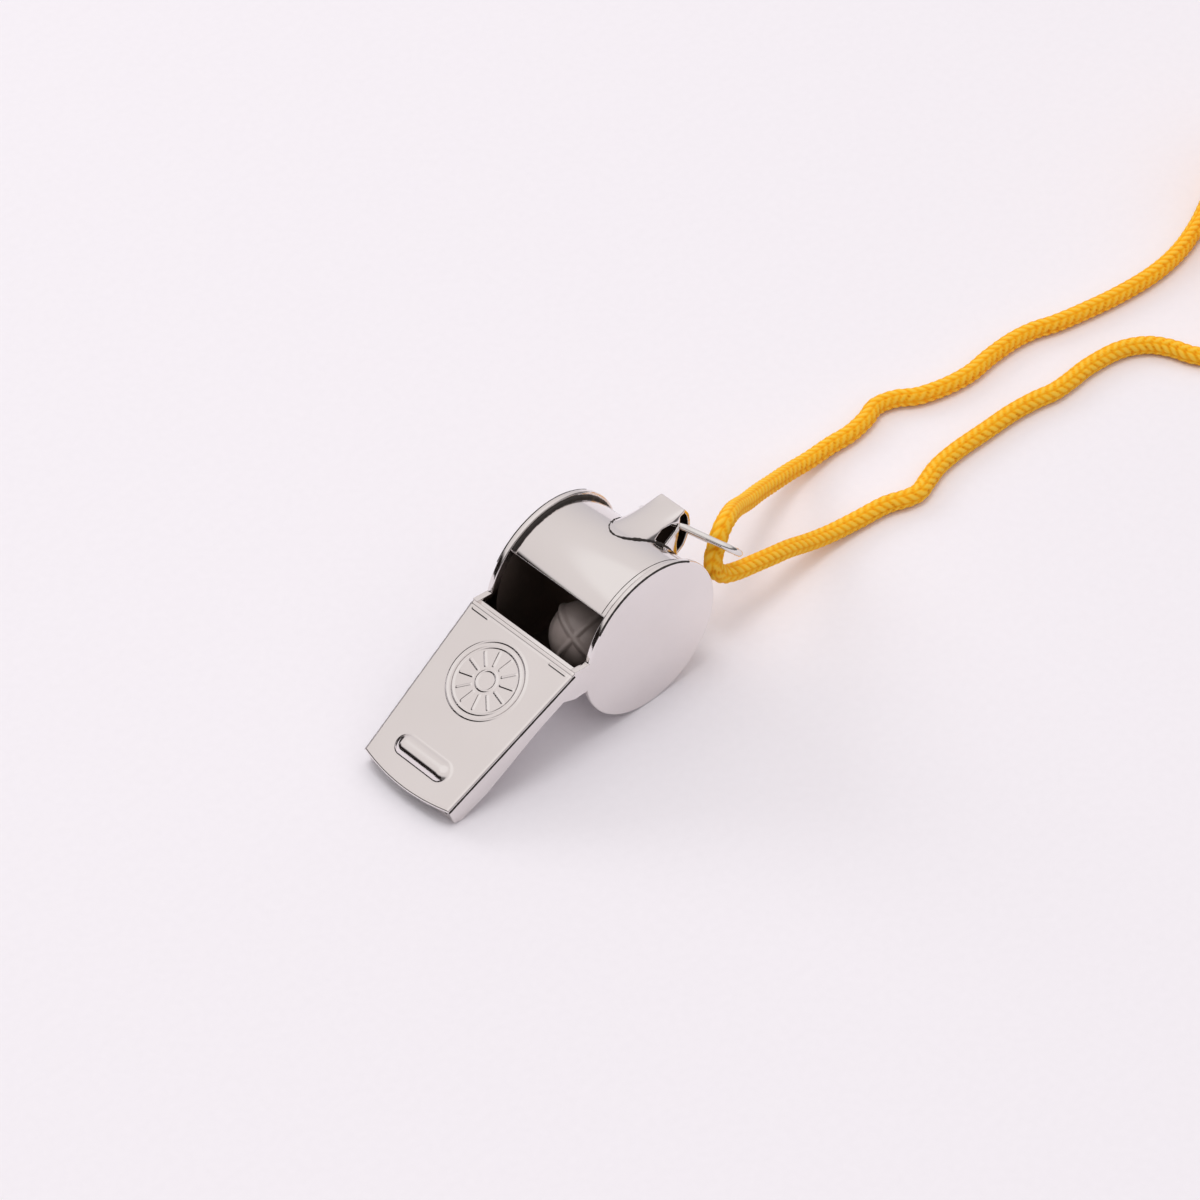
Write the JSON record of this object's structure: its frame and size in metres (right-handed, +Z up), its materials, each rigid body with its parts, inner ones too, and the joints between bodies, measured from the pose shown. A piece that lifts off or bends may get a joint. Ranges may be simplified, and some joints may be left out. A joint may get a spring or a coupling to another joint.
{
  "type": "sports whistle",
  "caption": "Pressed-metal pea whistle with a tapered mouthpiece, round sound chamber, lug, wire link and a braided cord lanyard wound up beside it.",
  "frame": {"origin": "under the middle of the whistle and its link, on the table it lies on", "axes": "+X from the mouthpiece's tip towards the barrel and the lug, +Z up from the table the whistle lies on, +Y towards the left side plate"},
  "size_m": [0.1778, 0.0324, 0.0212],
  "materials": {
    "nickel_plate": "polished",
    "pea_plastic": "matte",
    "braided_cord": "woven"
  },
  "bodies": {
    "whistle": {"barrel_band": "nickel_plate", "mouthpiece_floor": "nickel_plate", "mouthpiece_roof": "nickel_plate", "windway_plate": "nickel_plate", "side_plate_left": "nickel_plate", "side_plate_right": "nickel_plate", "cord_lug": "nickel_plate", "lanyard_cord": "braided_cord", "lanyard_coil": "braided_cord", "lanyard_knot": "braided_cord"},
    "link": {"wire_link": "nickel_plate"},
    "pea": {"pea": "pea_plastic"}
  },
  "joints": [
    {"name": "link_swing", "type": "hinge", "parent": "whistle", "child": "link", "pos_m": [0.01785, 0, 0.0177], "axis": [0, 1, 0], "range_deg": [-7, 7]},
    {"name": "pea_orbit", "type": "hinge", "parent": "whistle", "child": "pea", "pos_m": [0.0075, 0, 0.0106], "axis": [0, 1, 0], "continuous": true}
  ]
}
